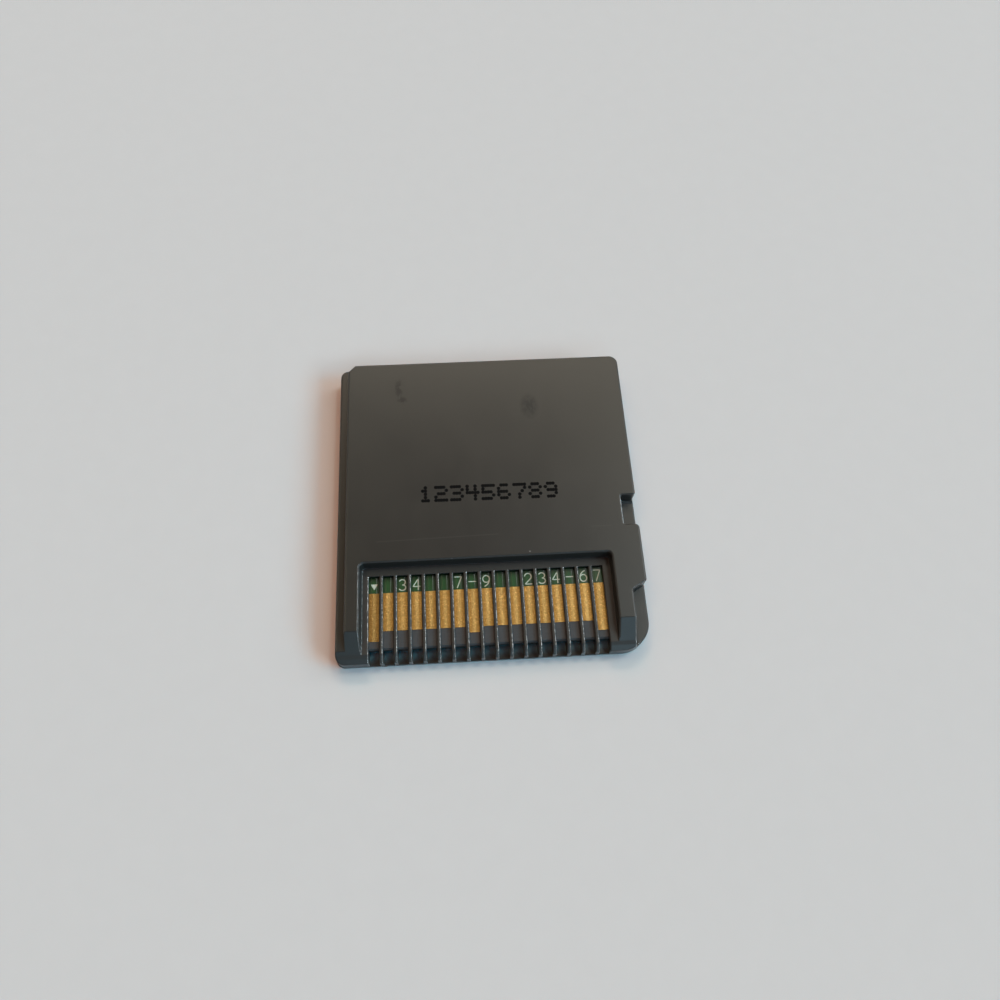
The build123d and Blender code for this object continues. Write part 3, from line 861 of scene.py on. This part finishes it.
class GAMECARD_OT_inner_parts(bpy.types.Operator):
    """Finish the chips, their leads and the small parts beside them"""

    bl_idname = "game_card.inner_parts"
    bl_label = "Finish Inner Parts"

    def execute(self, context):
        sizes = context.scene.game_card_sizes
        colours = context.scene.game_card_colours
        resin = plain_finish("chip_resin", colours.chip, metallic=0.0, roughness=0.6, grains=8.0)
        dress(resin, ["rom_chip", "save_chip"])
        tin = plain_finish("lead_tin", colours.tin, metallic=1.0, roughness=0.35, grains=12.0)
        dress(tin, ["rom_chip_leads", "save_chip_leads"])
        ceramic = capped_finish("capacitor_ceramic", colours.capacitor, sizes, colours.tin)
        dress(ceramic, [name for name in SMALL_PARTS if name.startswith("capacitor_")])
        glaze = capped_finish("resistor_glaze", colours.resistor, sizes, colours.tin)
        dress(glaze, [name for name in SMALL_PARTS if name.startswith("resistor_")])
        return {"FINISHED"}


class GAMECARD_OT_code(bpy.types.Operator):
    """Print the code in dots of ink on the rear face"""

    bl_idname = "game_card.code"
    bl_label = "Print Code"

    def execute(self, context):
        sizes = context.scene.game_card_sizes
        colours = context.scene.game_card_colours
        rows = np.array([[list(row) for row in DOT_DIGITS[digit].split()] for digit in sizes.code])
        digit, row, column = np.nonzero(rows == "#")
        middle = (DOT_GRID - 1) / 2
        digit_place = (digit - (len(sizes.code) - 1) / 2) * sizes.code_pitch
        across = digit_place + (column - middle) * sizes.dot_columns
        along = (middle - row) * sizes.dot_rows
        cos, sin = np.cos(sizes.code_tilt), np.sin(sizes.code_tilt)
        x = sizes.code_centre[0] + across * cos - along * sin
        y = sizes.code_centre[1] + across * sin + along * cos
        places = np.stack([x, y, np.full(len(x), FACE_HEIGHT)], axis=-1)
        reach = (sizes.dot_width / 2, sizes.dot_height / 2)
        dots = low_domes(places, reach, sizes.ink_rise, sizes.ink_sunk, corners=14)
        ink = ink_finish("code_ink", colours.code_ink, roughness=0.9, gloss=0.1)
        closed_tubes("printed_code", [dots], ink)
        return {"FINISHED"}


class GAMECARD_OT_legend(bpy.types.Operator):
    """Print the board's legend over the contacts"""

    bl_idname = "game_card.legend"
    bl_label = "Print Legend"

    def execute(self, context):
        sizes = context.scene.game_card_sizes
        colours = context.scene.game_card_colours
        layer = (sizes.ink_rise, sizes.ink_sunk)
        batches = []
        for mark, centre in zip(LEGEND_ROW, PAD_CENTRES):
            middle = np.array([centre, sizes.legend_centre])
            if mark == "v":
                place = np.array([[*middle, BOARD_HEIGHT]])
                batches.append(low_domes(place, sizes.arrow_reach, *layer, corners=3))
            elif mark != " ":
                for stroke in legend_strokes(mark):
                    path = middle + (stroke - LEGEND_MIDDLE) * sizes.legend_height
                    batches.append(bead(path, sizes.legend_stroke, *layer, BOARD_HEIGHT))
        ink = ink_finish("legend_ink", colours.legend_ink, roughness=0.6, gloss=0.5)
        closed_tubes("board_legend", batches, ink)
        return {"FINISHED"}


class GAMECARD_OT_stage(bpy.types.Operator):
    """Set the floor, the lamps and the camera"""

    bl_idname = "game_card.stage"
    bl_label = "Set Stage"

    def execute(self, context):
        scene = context.scene
        stage = scene.game_card_stage
        lay_floor(scene, stage)
        light_room(scene, stage)
        for name, values in LAMPS.items():
            lamp(name, stage.lamp_distance, *values)
        set_camera(scene, stage)
        scene.view_settings.view_transform = "Standard"
        return {"FINISHED"}


class GAMECARD_PT_panel(bpy.types.Panel):
    """Lists the card's steps"""

    bl_idname = "GAMECARD_PT_panel"
    bl_label = "Game Card"
    bl_space_type = "VIEW_3D"
    bl_region_type = "UI"
    bl_category = "Game Card"

    def draw(self, context):
        for step in STEPS:
            self.layout.operator(step.bl_idname)


STEPS = (
    GAMECARD_OT_shells,
    GAMECARD_OT_board,
    GAMECARD_OT_contacts,
    GAMECARD_OT_inner_parts,
    GAMECARD_OT_code,
    GAMECARD_OT_legend,
    GAMECARD_OT_stage,
)
CLASSES = (GameCardSizes, GameCardColours, GameCardStage, *STEPS, GAMECARD_PT_panel)


def register():
    """Adds the classes and the scene's values."""
    for each in CLASSES:
        bpy.utils.register_class(each)
    bpy.types.Scene.game_card_sizes = PointerProperty(type=GameCardSizes)
    bpy.types.Scene.game_card_colours = PointerProperty(type=GameCardColours)
    bpy.types.Scene.game_card_stage = PointerProperty(type=GameCardStage)


def unregister():
    """Takes them away again."""
    del bpy.types.Scene.game_card_stage
    del bpy.types.Scene.game_card_colours
    del bpy.types.Scene.game_card_sizes
    for each in reversed(CLASSES):
        bpy.utils.unregister_class(each)


def main():
    """Makes the card in order."""
    register()
    bpy.ops.game_card.shells()
    bpy.ops.game_card.board()
    bpy.ops.game_card.contacts()
    bpy.ops.game_card.inner_parts()
    bpy.ops.game_card.code()
    bpy.ops.game_card.legend()
    bpy.ops.game_card.stage()


if __name__ == "__main__":
    main()
